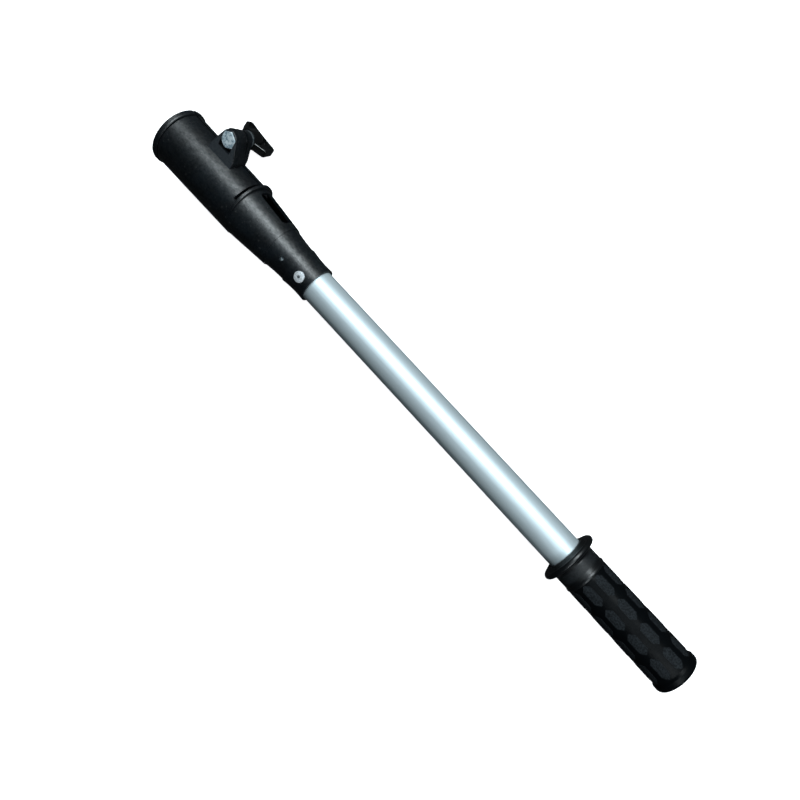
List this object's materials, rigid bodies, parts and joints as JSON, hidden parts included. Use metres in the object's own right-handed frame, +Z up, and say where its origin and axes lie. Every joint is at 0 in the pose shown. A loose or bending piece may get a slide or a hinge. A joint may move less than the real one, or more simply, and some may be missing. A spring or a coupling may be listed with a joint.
{
  "type": "tiller extension handle",
  "caption": "Extension handle for an outboard's tiller: a split clamp socket with a wing knob, a round metal tube and a padded rubber hand grip.",
  "frame": {"origin": "centre of the clamp socket's mouth, on the axis of its bore", "axes": "+X along the tube from the mouth to the grip's end; +Z up as it lies on a floor, resting on the socket's rim, the grip's flange and the knob"},
  "size_m": [0.608, 0.0787, 0.0542],
  "materials": {
    "socket_plastic": "satin moulded plastic with a fine grain",
    "tube_aluminium": "matte silver anodised",
    "grip_rubber": "glossy rubber with matte pads",
    "bolt_zinc": "bright zinc plated",
    "rivet_aluminium": "bright",
    "knob_plastic": "glossy"
  },
  "bodies": {
    "handle": {"socket": "socket_plastic", "tube": "tube_aluminium", "grip": "grip_rubber", "clamp_bolt": "bolt_zinc", "rivet_front": "rivet_aluminium", "rivet_front_pin": "bolt_zinc", "rivet_back": "rivet_aluminium", "rivet_back_pin": "bolt_zinc"},
    "washer": {"clamp_washer": "bolt_zinc"},
    "knob": {"wing_knob": "knob_plastic", "knob_nut": "bolt_zinc"}
  },
  "joints": [
    {"name": "knob_travel", "type": "slide", "parent": "handle", "child": "washer", "axis": [0, 0.1184, -0.993], "range_m": [0, 0.005]},
    {"name": "knob_turn", "type": "hinge", "parent": "washer", "child": "knob", "pos_m": [0.0538, 0.04071, 0.00485], "axis": [0, 0.1184, -0.993], "range_deg": [0, 1440]}
  ],
  "couplings": [
    {"joint": "knob_travel", "follows": "knob_turn", "m_per_rad": 0.00019894}
  ]
}
